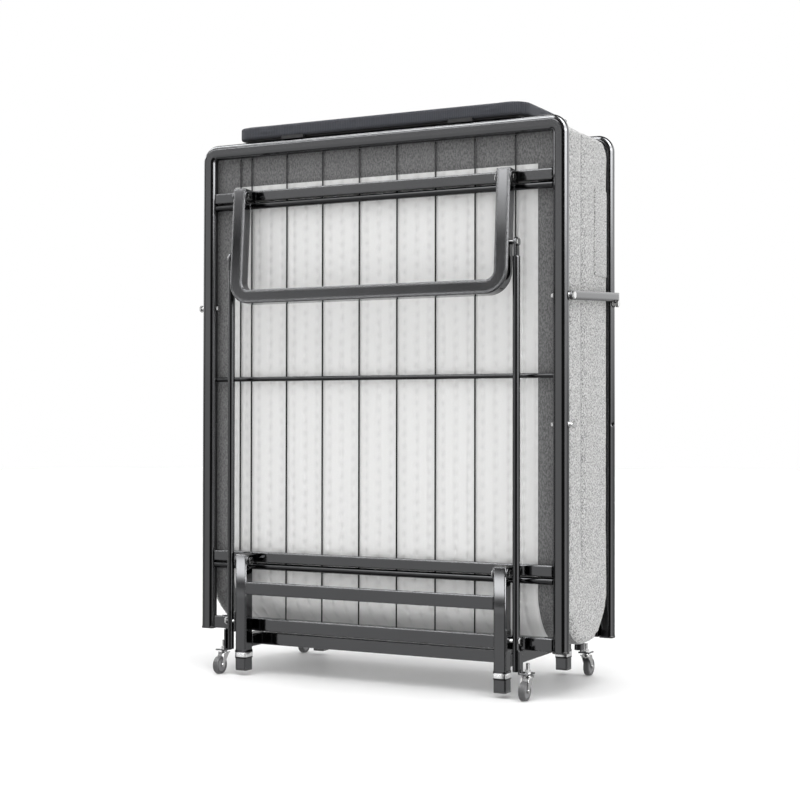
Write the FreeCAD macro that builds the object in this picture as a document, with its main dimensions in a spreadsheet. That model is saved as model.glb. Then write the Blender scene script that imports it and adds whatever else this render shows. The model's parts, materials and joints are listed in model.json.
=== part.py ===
"""Folding cot: a rollaway folding bed, folded upright on its casters.

Two decks hinge on a low centre base and fold up face to face round a mattress.
X is the width, Y runs from the head deck (-Y) to the foot deck (+Y), Z is up, and the
origin is on the floor under the middle.  Millimetres throughout.

Each deck, its end leg, its two link rods and the centre legs make a parallelogram:
low pivot on the centre leg, high pivot on the end leg, and the link rods between a
second pair of pivots, set back and lower by the same amounts at both ends.
Every piece is drawn for the head deck; the foot deck is its mirror image in Y.
"""
import os
import FreeCAD, Part
import Sketcher
from FreeCAD import Placement, Rotation, Vector

doc = FreeCAD.newDocument("folding_cot")

DIMENSIONS = {
    # decks
    "deck_width": 800, "deck_front": 133, "deck_top": 1070, "deck_bottom": 85,
    "rail_face": 30, "rail_depth": 22, "rail_corner": 10, "wall": 1.4, "hoop_bend": 19,
    "end_bar_height": 25.5, "end_bar_depth": 20, "end_bar_setback": 117.5, "edge_round": 2.5,
    "bar_face": 21, "bar_depth": 14, "bar_setback": 121.5, "high_bar_lift": 4.5,
    "low_bar_lift": 6, "rod_radius": 6.5, "rod_drop": 19, "mid_rod_radius": 4.5,
    "mid_rod_height": 591, "wire_radius": 1.5, "wire_pitch": 83.1, "wire_setback": 112.6,
    "wire_edge": 317.5,
    # pivots, measured from the middle of the cot and from the floor
    "pivot_setback": 152.5, "low_pivot": 227, "high_pivot": 956,
    "link_setback": 156, "low_link_pivot": 106, "high_link_pivot": 835,
    "bolt_radius": 4, "running_gap": 0.05, "open_gap": 0.6, "air_gap": 0.3, "drill": 40,
    "cheek": 2, "cheek_nose": 13, "bolt_head_radius": 7.5, "bolt_head": 3, "lock_nut": 4,
    # centre legs and base
    "leg_face": 25, "leg_centre": 281.5, "foot_gap": 9.6, "leg_top": 240,
    "cap_sole": 3, "cap_height": 40, "cap_slack": 0.1, "base_low": 55,
    "cross_tube_setback": 92.5, "tie_bar_low": 161, "tie_bar_height": 25.5,
    "tie_bar_depth": 10,
    # end legs
    "end_leg_centre": 288, "end_leg_face": 27, "end_leg_bend": 30, "end_leg_rise": 15,
    "end_leg_lean": 4,
    # link rods and casters
    "link_radius": 7, "link_centre": 311, "link_flat": 4, "link_foot": 50, "flat_length": 26,
    "eye_margin": 2.5, "lug": 3, "lug_height": 40, "lug_margin": 9,
    "strip": 3, "strip_width": 17, "strip_top": 90,
    "plate_low": 46, "caster_centre": 331, "caster_setback": 149, "plate_margin": 10,
    "stem_radius": 3.5, "stem_top": 66, "stem_tail": 8, "rivet": 2, "collar": 2.5,
    "collar_gap": 0.3, "nut_radius": 6, "nut_height": 5,
    "wheel_radius": 17.5, "tyre_width": 12, "tyre_depth": 5, "tyre_round": 1.8, "trail": 15,
    "axle_radius": 2, "axle_head": 1.5, "fork_plate": 2.5, "fork_cheek": 1.5, "fork_gap": 0.6,
    "fork_half_length": 12, "fork_back": 7, "fork_nose": 2.5, "hub_round": 0.8,
    # mattress
    "mattress_width": 775, "mattress_side": 110.3, "mattress_top": 1047,
    "mattress_low": 83, "mattress_corner": 42, "mid_gap": 0.3,
    # head panel
    "panel_width": 638, "panel_front": 134, "panel_back": 105, "panel_low": 1077,
    "panel_thick": 21, "panel_corner": 30, "panel_edge": 7, "panel_foot": 50,
    # latch and the bolts through the rails
    "latch_setback": 118, "latch_height": 737, "latch_inner": 402.7, "latch_thick": 4,
    "latch_face": 17, "latch_rise": 13, "latch_tail": 14, "hook_length": 8, "hook_drop": 6,
    "hook_gap": 1.2, "stud_radius": 4, "stud_end": 411, "stud_head": 3.5,
    "stud_head_margin": 3, "washer": 2,
}
sizes = doc.addObject("Spreadsheet::Sheet", "Sizes")
for row, (alias, size) in enumerate(DIMENSIONS.items(), start=1):
    sizes.set("A%d" % row, alias)
    sizes.set("B%d" % row, str(size))
    sizes.setAlias("B%d" % row, alias)
doc.recompute()

AXIS_TURN = {
    "X": Rotation(Vector(0, 1, 0), 90),
    "Y": Rotation(Vector(1, 0, 0), -90),
    "Z": Rotation(),
}
SIDES = {"left": -1, "right": 1}
CROSSBAR_HEIGHTS = {"high": "high_pivot + high_bar_lift", "low": "low_pivot + low_bar_lift"}
NODES = {}


# ---------------------------------------------------------------- small tools
def bound(expression):
    """Write every dimension's name in an expression as a cell of the sheet."""
    text = str(expression)
    for mark in "()+-*/":
        text = text.replace(mark, " %s " % mark)
    return " ".join("Sizes." + word if word in DIMENSIONS else word for word in text.split())


def number(expression):
    """The value an expression has now, for the first guess of a sketch."""
    return float(sizes.evalExpression(bound(expression)))


def bind(item, **properties):
    for name, expression in properties.items():
        item.setExpression(name, bound(expression))
    return item


def place(item, x=0, y=0, z=0, turn=None):
    """Put an object's own origin at a point given by expressions."""
    if turn is not None:
        item.Placement = Placement(Vector(), turn)
    for axis, expression in zip("xyz", (x, y, z)):
        item.setExpression("Placement.Base." + axis, bound(expression))
    return item


def box(name, x, y, z, length, width, height):
    """A block with its low corner at x, y, z."""
    item = bind(doc.addObject("Part::Box", name), Length=length, Width=width, Height=height)
    return place(item, x, y, z)


def rod(name, axis, x, y, z, radius, length):
    """A round bar along an axis, starting at x, y, z."""
    item = bind(doc.addObject("Part::Cylinder", name), Radius=radius, Height=length)
    return place(item, x, y, z, AXIS_TURN[axis])


def nut(name, axis, x, y, z, radius, length):
    """A hexagonal bolt head or nut along an axis."""
    item = bind(doc.addObject("Part::Prism", name), Circumradius=radius, Height=length)
    item.Polygon = 6
    return place(item, x, y, z, AXIS_TURN[axis])


def cut(name, base, tool):
    item = doc.addObject("Part::Cut", name)
    item.Base, item.Tool = base, tool
    return item


def fuse(name, pieces):
    item = doc.addObject("Part::MultiFuse", name)
    item.Shapes = pieces
    return item


def group(name, pieces):
    """Several separate solids that share one node."""
    item = doc.addObject("Part::Compound", name)
    item.Links = pieces
    return item


def mirror(name, source, normal):
    item = doc.addObject("Part::Mirroring", name)
    item.Source, item.Normal = source, Vector(*normal)
    return item


def pair(name, piece):
    """A piece and its mirror image on the other side of the cot."""
    return group(name, [piece, mirror(name + "_left", piece, (1, 0, 0))])


def node(label, item):
    """Register a finished sub-part under the name of its node."""
    item.Label = label
    NODES[label] = item
    return item


def both_decks(label, item):
    """Register a head-deck sub-part and its mirror image on the foot deck."""
    node("head_" + label, item)
    node("foot_" + label, mirror("foot_" + label, item, (0, 1, 0)))


# ---------------------------------------------------------------- sketches
def origin_part(body, role):
    return next(part for part in body.Origin.OriginFeatures if part.Role == role)


def new_sketch(body, name, plane, offset=(0, 0, 0)):
    sketch = body.newObject("Sketcher::SketchObject", name)
    sketch.AttachmentSupport = (origin_part(body, plane), [""])
    sketch.MapMode = "FlatFace"
    for axis, expression in zip("xyz", offset):
        sketch.setExpression("AttachmentOffset.Base." + axis, bound(expression))
    return sketch


def limit(sketch, name, expression, *constraint):
    """Add a named measure to a sketch and bind it to the sheet."""
    index = sketch.addConstraint(Sketcher.Constraint(*constraint, number(expression)))
    sketch.renameConstraint(index, name)
    sketch.setExpression("Constraints." + name, bound(expression))


def tie(sketch, *constraint):
    sketch.addConstraint(Sketcher.Constraint(*constraint))


def arc(x, y, radius, start, end):
    circle = Part.Circle(Vector(x, y, 0), Vector(0, 0, 1), radius)
    return Part.ArcOfCircle(circle, FreeCAD.Units.Quantity("%g deg" % start).getValueAs("rad"),
                            FreeCAD.Units.Quantity("%g deg" % end).getValueAs("rad"))


def rounded_rectangle(sketch, width, height, corner, first=0):
    """A centred rectangle with rounded corners, every size bound to the sheet."""
    half_w, half_h, r = number(width) / 2, number(height) / 2, number(corner)
    ends = [(r - half_w, -half_h, half_w - r, -half_h), (half_w, r - half_h, half_w, half_h - r),
            (half_w - r, half_h, r - half_w, half_h), (-half_w, half_h - r, -half_w, r - half_h)]
    for x1, y1, x2, y2 in ends:
        sketch.addGeometry(Part.LineSegment(Vector(x1, y1, 0), Vector(x2, y2, 0)), False)
    centres = [(half_w - r, r - half_h), (half_w - r, half_h - r),
               (r - half_w, half_h - r), (r - half_w, r - half_h)]
    for quarter, (x, y) in enumerate(centres):
        sketch.addGeometry(arc(x, y, r, 90 * quarter - 90, 90 * quarter), False)
    for side in range(4):
        bend = first + 4 + side
        tie(sketch, "Tangent", first + side, 2, bend, 1)
        tie(sketch, "Tangent", bend, 2, first + (side + 1) % 4, 1)
        tie(sketch, "Vertical" if side % 2 else "Horizontal", first + side)
    for other in (5, 6, 7):
        tie(sketch, "Equal", first + 4, first + other)
    tie(sketch, "Symmetric", first + 4, 3, first + 6, 3, -1, 1)
    inside = "({0}) - 2 * ({1})"
    limit(sketch, "span%d" % first, inside.format(width, corner),
          "DistanceX", first + 7, 3, first + 4, 3)
    limit(sketch, "rise%d" % first, inside.format(height, corner),
          "DistanceY", first + 4, 3, first + 5, 3)
    limit(sketch, "corner%d" % first, corner, "Radius", first + 4)


def tube_section(sketch, width, height, corner, wall=None):
    rounded_rectangle(sketch, width, height, corner)
    if wall:
        rounded_rectangle(sketch, "%s - 2 * %s" % (width, wall), "%s - 2 * %s" % (height, wall),
                          "%s - %s" % (corner, wall), first=8)


def tube(name, axis, x, y, z, length, width, height, corner="edge_round", wall=None):
    """A straight tube or bar along an axis; x, y, z is the middle of its first end.

    Along X the width stands upright; along Y and Z it lies across the cot.
    """
    body = doc.addObject("PartDesign::Body", name)
    sketch = new_sketch(body, name + "_section", "XY_Plane")
    tube_section(sketch, width, height, corner, wall)
    pad = body.newObject("PartDesign::Pad", name + "_run")
    pad.Profile = sketch
    bind(pad, Length=length)
    return place(body, x, y, z, AXIS_TURN[axis])


def bent_tube(name, half_span, crown, bend, width, depth, corner):
    """A hollow hoop: two legs up from the body's own XY plane and a run across."""
    body = doc.addObject("PartDesign::Body", name)
    path = new_sketch(body, name + "_path", "XZ_Plane")
    s, c, b = number(half_span), number(crown), number(bend)
    path.addGeometry(Part.LineSegment(Vector(-s, 0, 0), Vector(-s, c - b, 0)), False)
    path.addGeometry(arc(b - s, c - b, b, 90, 180), False)
    path.addGeometry(Part.LineSegment(Vector(b - s, c, 0), Vector(s - b, c, 0)), False)
    path.addGeometry(arc(s - b, c - b, b, 0, 90), False)
    path.addGeometry(Part.LineSegment(Vector(s, c - b, 0), Vector(s, 0, 0)), False)
    for joint in ((0, 2, 1, 2), (1, 1, 2, 1), (2, 2, 3, 2), (3, 1, 4, 1)):
        tie(path, "Tangent", *joint)
    tie(path, "Vertical", 0)
    tie(path, "Horizontal", 2)
    tie(path, "Vertical", 4)
    tie(path, "Equal", 1, 3)
    tie(path, "PointOnObject", 0, 1, -1)
    tie(path, "Symmetric", 0, 1, 4, 2, -2)
    limit(path, "span", "2 * (%s)" % half_span, "DistanceX", 0, 1, 4, 2)
    limit(path, "bend", bend, "Radius", 1)
    limit(path, "crown", crown, "DistanceY", -1, 1, 2, 1)
    section = new_sketch(body, name + "_section", "XY_Plane", ("0 - (%s)" % half_span, 0, 0))
    tube_section(section, width, depth, corner, "wall")
    pipe = body.newObject("PartDesign::AdditivePipe", name + "_pipe")
    pipe.Profile = section
    pipe.Spine = (path, ["Edge%d" % edge for edge in range(1, 6)])
    return body


def ring(name, middle, width, depth, corner):
    """A turned ring about the body's own Z axis."""
    body = doc.addObject("PartDesign::Body", name)
    sketch = new_sketch(body, name + "_section", "XZ_Plane", (middle, 0, 0))
    rounded_rectangle(sketch, depth, width, corner)
    turned = body.newObject("PartDesign::Revolution", name + "_turned")
    turned.Profile = sketch
    turned.ReferenceAxis = (origin_part(body, "Z_Axis"), [""])
    turned.Angle = 360
    return body


def round_edges(body, name, radius, wanted):
    """Fillet the edges of a body whose middle passes a test."""
    doc.recompute()
    base = body.Tip
    edges = base.Shape.Edges
    picked = ["Edge%d" % (i + 1) for i, edge in enumerate(edges) if wanted(edge)]
    fillet = body.newObject("PartDesign::Fillet", name)
    fillet.Base = (base, picked)
    return bind(fillet, Radius=radius)


# ---------------------------------------------------------------- decks
def make_deck():
    rail_middle = "deck_front - rail_depth / 2"
    hoop = bent_tube("hoop", "deck_width / 2 - rail_face / 2",
                     "deck_top - deck_bottom - rail_face / 2", "hoop_bend",
                     "rail_face", "rail_depth", "rail_corner")
    place(hoop, 0, "0 - (%s)" % rail_middle, "deck_bottom")
    inner = "deck_width / 2 - rail_face"
    both_decks("frame_hoop", drilled_hoop(hoop))
    both_decks("end_bar", tube("end_bar", "X", "0 - (%s)" % inner, "0 - end_bar_setback",
                               "deck_bottom + end_bar_height / 2", "2 * (%s)" % inner,
                               "end_bar_height", "end_bar_depth", wall="wall"))
    bars = [tube("crossbar_" + level, "X", "0 - (%s)" % inner, "0 - bar_setback", height,
                 "2 * (%s)" % inner, "bar_face", "bar_depth", wall="wall")
            for level, height in CROSSBAR_HEIGHTS.items()]
    both_decks("crossbars", group("crossbars", bars))
    rods = [rod("cross_rod_" + level, "X", "0 - (%s)" % inner, "0 - bar_setback",
                height + " - rod_drop", "rod_radius", "2 * (%s)" % inner)
            for level, height in CROSSBAR_HEIGHTS.items()]
    rods.append(rod("mid_rod", "X", "0 - (%s)" % inner,
                    "0 - wire_setback - wire_radius - mid_rod_radius", "mid_rod_height",
                    "mid_rod_radius", "2 * (%s)" % inner))
    both_decks("cross_rods", group("cross_rods", rods))
    low = "deck_bottom + end_bar_height"
    places = ["wire_pitch * %g" % (step - 3.5) for step in range(8)] + ["0 - wire_edge"]
    wires = [rod("deck_wire_%d" % (i + 1), "Z", x, "0 - wire_setback", low, "wire_radius",
                 "deck_top - rail_face - deck_bottom - end_bar_height")
             for i, x in enumerate(places)]
    both_decks("deck_wires", group("deck_wires", wires))


def drilled_hoop(hoop):
    """The hoop with a cross hole at each place where a bolt goes through a rail."""
    drills = [rod("rail_drill_%d" % i, "X", "0 - deck_width / 2 - wall", "0 - latch_setback",
                  height, "stud_radius", "deck_width + 2 * wall")
              for i, height in enumerate(("latch_height", "latch_height - 2 * latch_setback"))]
    return cut("drilled_hoop", hoop, fuse("rail_drills", drills))


def make_pivots():
    """Clevis cheeks welded to the crossbars, and the bolts through them and the legs."""
    brackets, bolts = [], []
    for level, height, centre, face in (("low", "low_pivot", "leg_centre", "leg_face"),
                                        ("high", "high_pivot", "end_leg_centre",
                                         "end_leg_face")):
        inside = "%s - %s / 2 - air_gap - cheek" % (centre, face)
        outside = "%s + %s / 2 + air_gap" % (centre, face)
        cheeks = [clevis_cheek("%s_%s_" % (level, side), x, height)
                  for side, x in (("outer", outside), ("inner", inside))]
        brackets.append(group(level + "_clevis", cheeks))
        shank = rod(level + "_shank", "X", inside + " - lock_nut", "0 - pivot_setback", height,
                    "bolt_radius", face + " + 2 * air_gap + 2 * cheek + lock_nut")
        head = nut(level + "_head", "X", outside + " + cheek", "0 - pivot_setback", height,
                   "bolt_head_radius", "bolt_head")
        lock_nut = nut(level + "_nut", "X", inside + " - lock_nut", "0 - pivot_setback", height,
                       "bolt_head_radius", "lock_nut")
        bolts.append(fuse(level + "_bolt", [shank, head, lock_nut]))
    for label, pieces in (("brackets", brackets), ("bolts", bolts)):
        both_decks("pivot_" + label, pair("pivot_" + label, group("right_" + label, pieces)))


def clevis_cheek(name, x, height):
    """One plate from a crossbar to a pivot, with a round nose about the bolt."""
    nose = rod(name + "nose", "X", x, "0 - pivot_setback", height, "cheek_nose", "cheek")
    web = box(name + "web", x, "0 - pivot_setback", "%s - cheek_nose" % height, "cheek",
              "pivot_setback - bar_setback - bar_depth / 2", "2 * cheek_nose")
    hole = rod(name + "hole", "X", x + " - cheek", "0 - pivot_setback", height,
               "bolt_radius", "3 * cheek")
    return cut(name + "cheek", fuse(name + "plate", [nose, web]), hole)


# ---------------------------------------------------------------- base
def make_base():
    outer = "leg_centre + leg_face / 2"
    leg = tube("centre_leg", "Z", "leg_centre", "0 - pivot_setback", "foot_gap + cap_sole",
               "leg_top - foot_gap - cap_sole", "leg_face", "leg_face", wall="wall")
    lug_low = "low_link_pivot - lug_height / 2"
    lug = box("link_lug", outer, "0 - link_setback - lug_margin", lug_low, "lug",
              "2 * lug_margin", "lug_height")
    pivot_hole = rod("leg_pivot_hole", "X", "leg_centre - drill / 2", "0 - pivot_setback",
                     "low_pivot", "bolt_radius + running_gap", "drill")
    link_hole = rod("lug_hole", "X", outer, "0 - link_setback", "low_link_pivot",
                    "bolt_radius", "drill")
    welded = fuse("leg_and_lug", [leg, lug])
    right_leg = cut("right_leg", welded, fuse("leg_holes", [pivot_hole, link_hole]))
    left_leg = mirror("left_leg", right_leg, (1, 0, 0))
    both_decks("centre_leg_right", right_leg)
    both_decks("centre_leg_left", left_leg)

    front = "0 - pivot_setback - leg_face / 2"
    inner = "leg_centre - leg_face / 2"
    tie_bar = tube("tie_bar", "X", "0 - (%s)" % inner, front + " + tie_bar_depth / 2",
                   "tie_bar_low + tie_bar_height / 2", "2 * (%s)" % inner,
                   "tie_bar_height", "tie_bar_depth", wall="wall")
    node("leg_tie_bars", group("leg_tie_bars",
                               [tie_bar, mirror("rear_tie_bar", tie_bar, (0, 1, 0))]))
    side_run = "pivot_setback - leg_face / 2"
    side_tube = tube("side_tube", "Y", "leg_centre", "0 - (%s)" % side_run,
                     "base_low + leg_face / 2", "2 * (%s)" % side_run, "leg_face", "leg_face",
                     wall="wall")
    node("base_side_tubes", pair("base_side_tubes", side_tube))
    cross_tube = tube("cross_tube", "X", "0 - (%s)" % inner, "0 - cross_tube_setback",
                      "base_low + leg_face / 2", "2 * (%s)" % inner, "leg_face", "leg_face",
                      wall="wall")
    node("base_cross_tubes", group("base_cross_tubes",
                                   [cross_tube, mirror("rear_cross_tube", cross_tube, (0, 1, 0))]))

    sole = tube("cap_sole", "Z", "leg_centre", "0 - pivot_setback", "foot_gap", "cap_sole",
                "leg_face", "leg_face")
    bore = "leg_face - 2 * wall - 2 * cap_slack"
    plug = tube("cap_plug", "Z", "leg_centre", "0 - pivot_setback", "foot_gap + cap_sole",
                "cap_height - cap_sole", bore, bore, corner="wall")
    caps = pair("front_caps", fuse("foot_cap", [sole, plug]))
    node("centre_foot_caps", group("centre_foot_caps",
                                   [caps, mirror("rear_caps", caps, (0, 1, 0))]))

    shank = rod("link_bolt_shank", "X", outer, "0 - link_setback", "low_link_pivot",
                "bolt_radius", "link_centre + link_radius - (%s) + bolt_head" % outer)
    head = nut("link_bolt_head", "X", "link_centre + link_radius + air_gap", "0 - link_setback",
               "low_link_pivot", "bolt_head_radius", "bolt_head")
    bolts = pair("front_link_bolts", fuse("link_bolt", [shank, head]))
    node("low_link_bolts", group("low_link_bolts",
                                 [bolts, mirror("rear_link_bolts", bolts, (0, 1, 0))]))


# ---------------------------------------------------------------- end legs and link rods
def make_end_leg():
    """A hoop that hangs from the high pivots and leans out a little; its run is the foot."""
    loop = bent_tube("end_leg", "end_leg_centre",
                     "end_leg_rise + low_pivot - foot_gap - end_leg_face / 2", "end_leg_bend",
                     "end_leg_face", "end_leg_face", "edge_round")
    place(loop, 0, 0, "end_leg_rise", Rotation(Vector(0, 1, 0), 180))
    leaning = group("leaning_leg", [loop])
    place(leaning, 0, "0 - pivot_setback", "high_pivot", Rotation(Vector(-1, 0, 0), 1))
    leaning.setExpression("Placement.Rotation.Angle", "Sizes.end_leg_lean * 1 deg")
    hole = rod("end_leg_pivot_hole", "X", "0 - deck_width / 2", "0 - pivot_setback",
               "high_pivot", "bolt_radius + running_gap", "deck_width")
    both_decks("end_leg", cut("drilled_end_leg", leaning, hole))
    face = "end_leg_centre + end_leg_face / 2"
    shank = rod("high_link_shank", "X", face, "0 - link_setback", "high_link_pivot",
                "bolt_radius", "link_centre + link_flat / 2 + bolt_head - (%s)" % face)
    head = nut("high_link_head", "X", "link_centre + link_flat / 2 + open_gap",
               "0 - link_setback", "high_link_pivot", "bolt_head_radius", "bolt_head")
    both_decks("high_link_bolts", pair("high_link_bolts", fuse("high_link_bolt", [shank, head])))


def make_link():
    """A round rod with one end hammered flat, drilled across at both pivots."""
    flat_low = "high_link_pivot - flat_length"
    bar = rod("link_bar", "Z", "link_centre", "0 - link_setback", "link_foot", "link_radius",
              "high_link_pivot - link_foot - link_radius")
    flat_sides = [box("link_flat_" + side, x, "0 - link_setback - drill / 2", flat_low,
                      "link_radius", "drill", "flat_length")
                  for side, x in (("inner", "link_centre - link_flat / 2 - link_radius"),
                                  ("outer", "link_centre + link_flat / 2"))]
    thinned = cut("thinned_bar", bar, fuse("flat_sides", flat_sides))
    inside = "link_centre - link_flat / 2"
    eye_radius = "(link_radius + eye_margin)"
    eye = rod("link_eye", "X", inside, "0 - link_setback", "high_link_pivot", eye_radius,
              "link_flat")
    strap = box("link_strap", inside, "0 - link_setback - " + eye_radius, flat_low,
                "link_flat", "2 * " + eye_radius, "flat_length")
    holes = [rod("open_hole", "X", "link_centre - drill / 2", "0 - link_setback",
                 "high_link_pivot", "bolt_radius + open_gap", "drill"),
             rod("low_hole", "X", "link_centre - drill / 2", "0 - link_setback",
                 "low_link_pivot", "bolt_radius + running_gap", "drill")]
    link = cut("link_right", fuse("link_blank", [thinned, eye, strap]), fuse("link_holes", holes))
    both_decks("link_rod_right", link)
    both_decks("link_rod_left", mirror("link_left", link, (1, 0, 0)))
    make_caster_bracket()


def make_caster_bracket():
    """An angle bracket on the foot of a link rod, and the caster stem through it."""
    outside = "link_centre + link_radius"
    strip = box("caster_strip", outside, "0 - link_setback - strip_width / 2", "plate_low",
                "strip", "strip_width", "strip_top - plate_low")
    plate = box("caster_plate", outside, "0 - link_setback - strip_width / 2", "plate_low",
                "caster_centre - link_centre - link_radius + plate_margin",
                "link_setback - caster_setback + plate_margin + strip_width / 2", "strip")
    hole = rod("plate_hole", "Z", "caster_centre", "0 - caster_setback", "plate_low - strip",
               "stem_radius", "3 * strip")
    bracket = cut("caster_bracket", fuse("angle_bracket", [strip, plate]), hole)
    both_decks("caster_brackets", pair("caster_brackets", bracket))

    tail = "plate_low - stem_tail"
    stem = rod("stem", "Z", "caster_centre", "0 - caster_setback", tail, "stem_radius",
               "stem_top - plate_low + stem_tail")
    stem_nut = nut("stem_nut", "Z", "caster_centre", "0 - caster_setback", "plate_low + strip",
                   "nut_radius", "nut_height")
    collar = rod("stem_collar", "Z", "caster_centre", "0 - caster_setback",
                 "plate_low - collar", "nut_radius", "collar")
    rivet = rod("stem_rivet", "Z", "caster_centre", "0 - caster_setback", tail, "nut_radius",
                "rivet")
    stems = pair("caster_stems", fuse("caster_stem", [stem, stem_nut, collar, rivet]))
    both_decks("caster_stems", stems)


# ---------------------------------------------------------------- casters
def make_caster(deck, side):
    """One swivelling caster: fork, axle, tyre and hub."""
    across, along = SIDES[side], -1 if deck == "head" else 1
    prefix = "%s_%s_" % (deck, side)
    x = "%d * caster_centre" % across
    stem_y = "%d * caster_setback" % along
    wheel_y = "%d * (caster_setback + trail)" % along
    plate_z = "plate_low - collar - collar_gap - fork_plate"
    half = "tyre_width / 2 + fork_gap"
    crown = rod(prefix + "crown", "Z", x, stem_y, plate_z, "fork_half_length", "fork_plate")
    cheeks = [fork_cheek(prefix + name, x + " + " + start, stem_y, wheel_y, plate_z, along)
              for name, start in (("cheek_in", "(%s)" % half),
                                  ("cheek_out", "(0 - (%s) - fork_cheek)" % half))]
    fork = fuse(prefix + "fork_blank", [crown] + cheeks)
    holes = [rod(prefix + "stem_hole", "Z", x, stem_y, plate_z + " - fork_plate",
                 "stem_radius + running_gap", "3 * fork_plate"),
             rod(prefix + "axle_hole", "X", x + " - tyre_width", wheel_y, "wheel_radius",
                 "axle_radius", "2 * tyre_width")]
    node(prefix + "caster_fork", cut(prefix + "fork_cut", fork, fuse(prefix + "holes", holes)))
    pin_start = "%s - (%s) - fork_cheek - axle_head" % (x, half)
    pin_end = "%s + (%s) + fork_cheek" % (x, half)
    pin = rod(prefix + "pin", "X", pin_start, wheel_y, "wheel_radius", "axle_radius",
              "2 * (%s) + 2 * fork_cheek + 2 * axle_head" % half)
    head, tail = (rod(prefix + name, "X", start, wheel_y, "wheel_radius",
                      "axle_radius + axle_head", "axle_head")
                  for name, start in (("pin_head", pin_start), ("pin_tail", pin_end)))
    node(prefix + "caster_axle", fuse(prefix + "axle", [pin, head, tail]))
    tyre = ring(prefix + "tyre_ring", "wheel_radius - tyre_depth / 2", "tyre_width",
                "tyre_depth", "tyre_round")
    node(prefix + "caster_tyre", place(tyre, x, wheel_y, "wheel_radius", AXIS_TURN["X"]))
    rim = ring(prefix + "hub_ring", "(wheel_radius - tyre_depth + axle_radius + running_gap) / 2",
               "tyre_width - hub_round", "wheel_radius - tyre_depth - axle_radius - running_gap",
               "hub_round")
    node(prefix + "caster_hub", place(rim, x, wheel_y, "wheel_radius", AXIS_TURN["X"]))


def fork_cheek(name, x, stem_y, wheel_y, top, along):
    """One side of a fork: a tapered plate from the crown down to the axle."""
    boss = rod(name + "_boss", "X", x, wheel_y, "wheel_radius", "axle_radius + fork_nose",
               "fork_cheek")
    slab = doc.addObject("Part::Wedge", name + "_slab")
    bind(slab, Xmin="0", Xmax="fork_cheek", X2min="0", X2max="fork_cheek",
         Ymin="wheel_radius", Ymax=top, Zmin="trail - axle_radius - fork_nose",
         Zmax="trail + axle_radius + fork_nose", Z2min="0 - fork_back",
         Z2max="fork_half_length")
    place(slab, x, stem_y, 0, Rotation(Vector(1, 0, 0), 90))
    if along > 0:
        slab.Placement = Placement(Vector(), Rotation(Vector(0, 0, 1), 180)
                                   * Rotation(Vector(1, 0, 0), 90))
        place(slab, x + " + fork_cheek", stem_y, 0)
    return fuse(name, [slab, boss])


# ---------------------------------------------------------------- mattress and head panel
def make_mattress():
    side_run = "mattress_side - mid_gap / 2"
    half = doc.addObject("PartDesign::Body", "mattress_half")
    sketch = new_sketch(half, "mattress_section", "XY_Plane")
    rounded_rectangle(sketch, "mattress_width", side_run, "edge_round")
    pad = half.newObject("PartDesign::Pad", "mattress_block")
    pad.Profile = sketch
    bind(pad, Length="mattress_top - low_pivot - air_gap")
    place(half, 0, "0 - mid_gap / 2 - (%s) / 2" % side_run, "low_pivot + air_gap")
    round_edges(half, "mattress_shoulder", "mattress_corner", outer_top_edge)
    both_decks("mattress", half)
    bend = "mattress_low + mattress_side"
    barrel = rod("fold_barrel", "X", "0 - mattress_width / 2", 0, bend, "mattress_side",
                 "mattress_width")
    upper = box("fold_upper", "0 - mattress_width / 2", "0 - mattress_side", bend,
                "mattress_width", "2 * mattress_side", "low_pivot - (%s)" % bend)
    region = box("fold_region", "0 - mattress_width / 2", "0 - mattress_side", 0,
                 "mattress_width", "mattress_side - mid_gap / 2", "low_pivot")
    fold = doc.addObject("Part::Common", "mattress_fold")
    fold.Base, fold.Tool = fuse("fold_outline", [barrel, upper]), region
    both_decks("mattress_fold", fold)


def outer_top_edge(edge):
    """True for the edge of the mattress body that is at its top and on the deck's side."""
    middle, margin = edge.CenterOfMass, number("edge_round")
    return middle.z > number("mattress_top - low_pivot") - margin \
        and middle.y < margin - number("mattress_side") / 2


def make_panel():
    depth = "panel_front + panel_back"
    panel = tube("head_panel_board", "Z", 0, "(panel_back - panel_front) / 2", "panel_low",
                 "panel_thick", "panel_width", depth, corner="panel_corner")
    round_edges(panel, "panel_rim", "panel_edge",
                lambda edge: edge.BoundBox.ZLength < number("panel_edge"))
    node("head_panel", panel)
    foot = box("panel_foot", "panel_width / 4", "0 - deck_front + wall", "deck_top",
               "panel_foot", "rail_depth - 2 * wall", "panel_low - deck_top")
    node("head_panel_feet", pair("head_panel_feet", foot))


# ---------------------------------------------------------------- latch
def rail_bolt(name, side, along, height):
    """A bolt through a deck rail, with a head outside, a washer and a nut inside."""
    low = "deck_width / 2 - rail_face - lock_nut"
    y = "%d * latch_setback" % along
    wide = "stud_radius + stud_head_margin"
    pieces = [rod(name + "_shank", "X", low, y, height, "stud_radius", "stud_end - (%s)" % low),
              nut(name + "_head", "X", "stud_end - stud_head", y, height, wide, "stud_head"),
              rod(name + "_washer", "X", "deck_width / 2", y, height, wide, "washer"),
              nut(name + "_nut", "X", low, y, height, wide, "lock_nut")]
    bolt = fuse(name, pieces)
    return bolt if side == "right" else mirror(name + "_left", bolt, (1, 0, 0))


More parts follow.
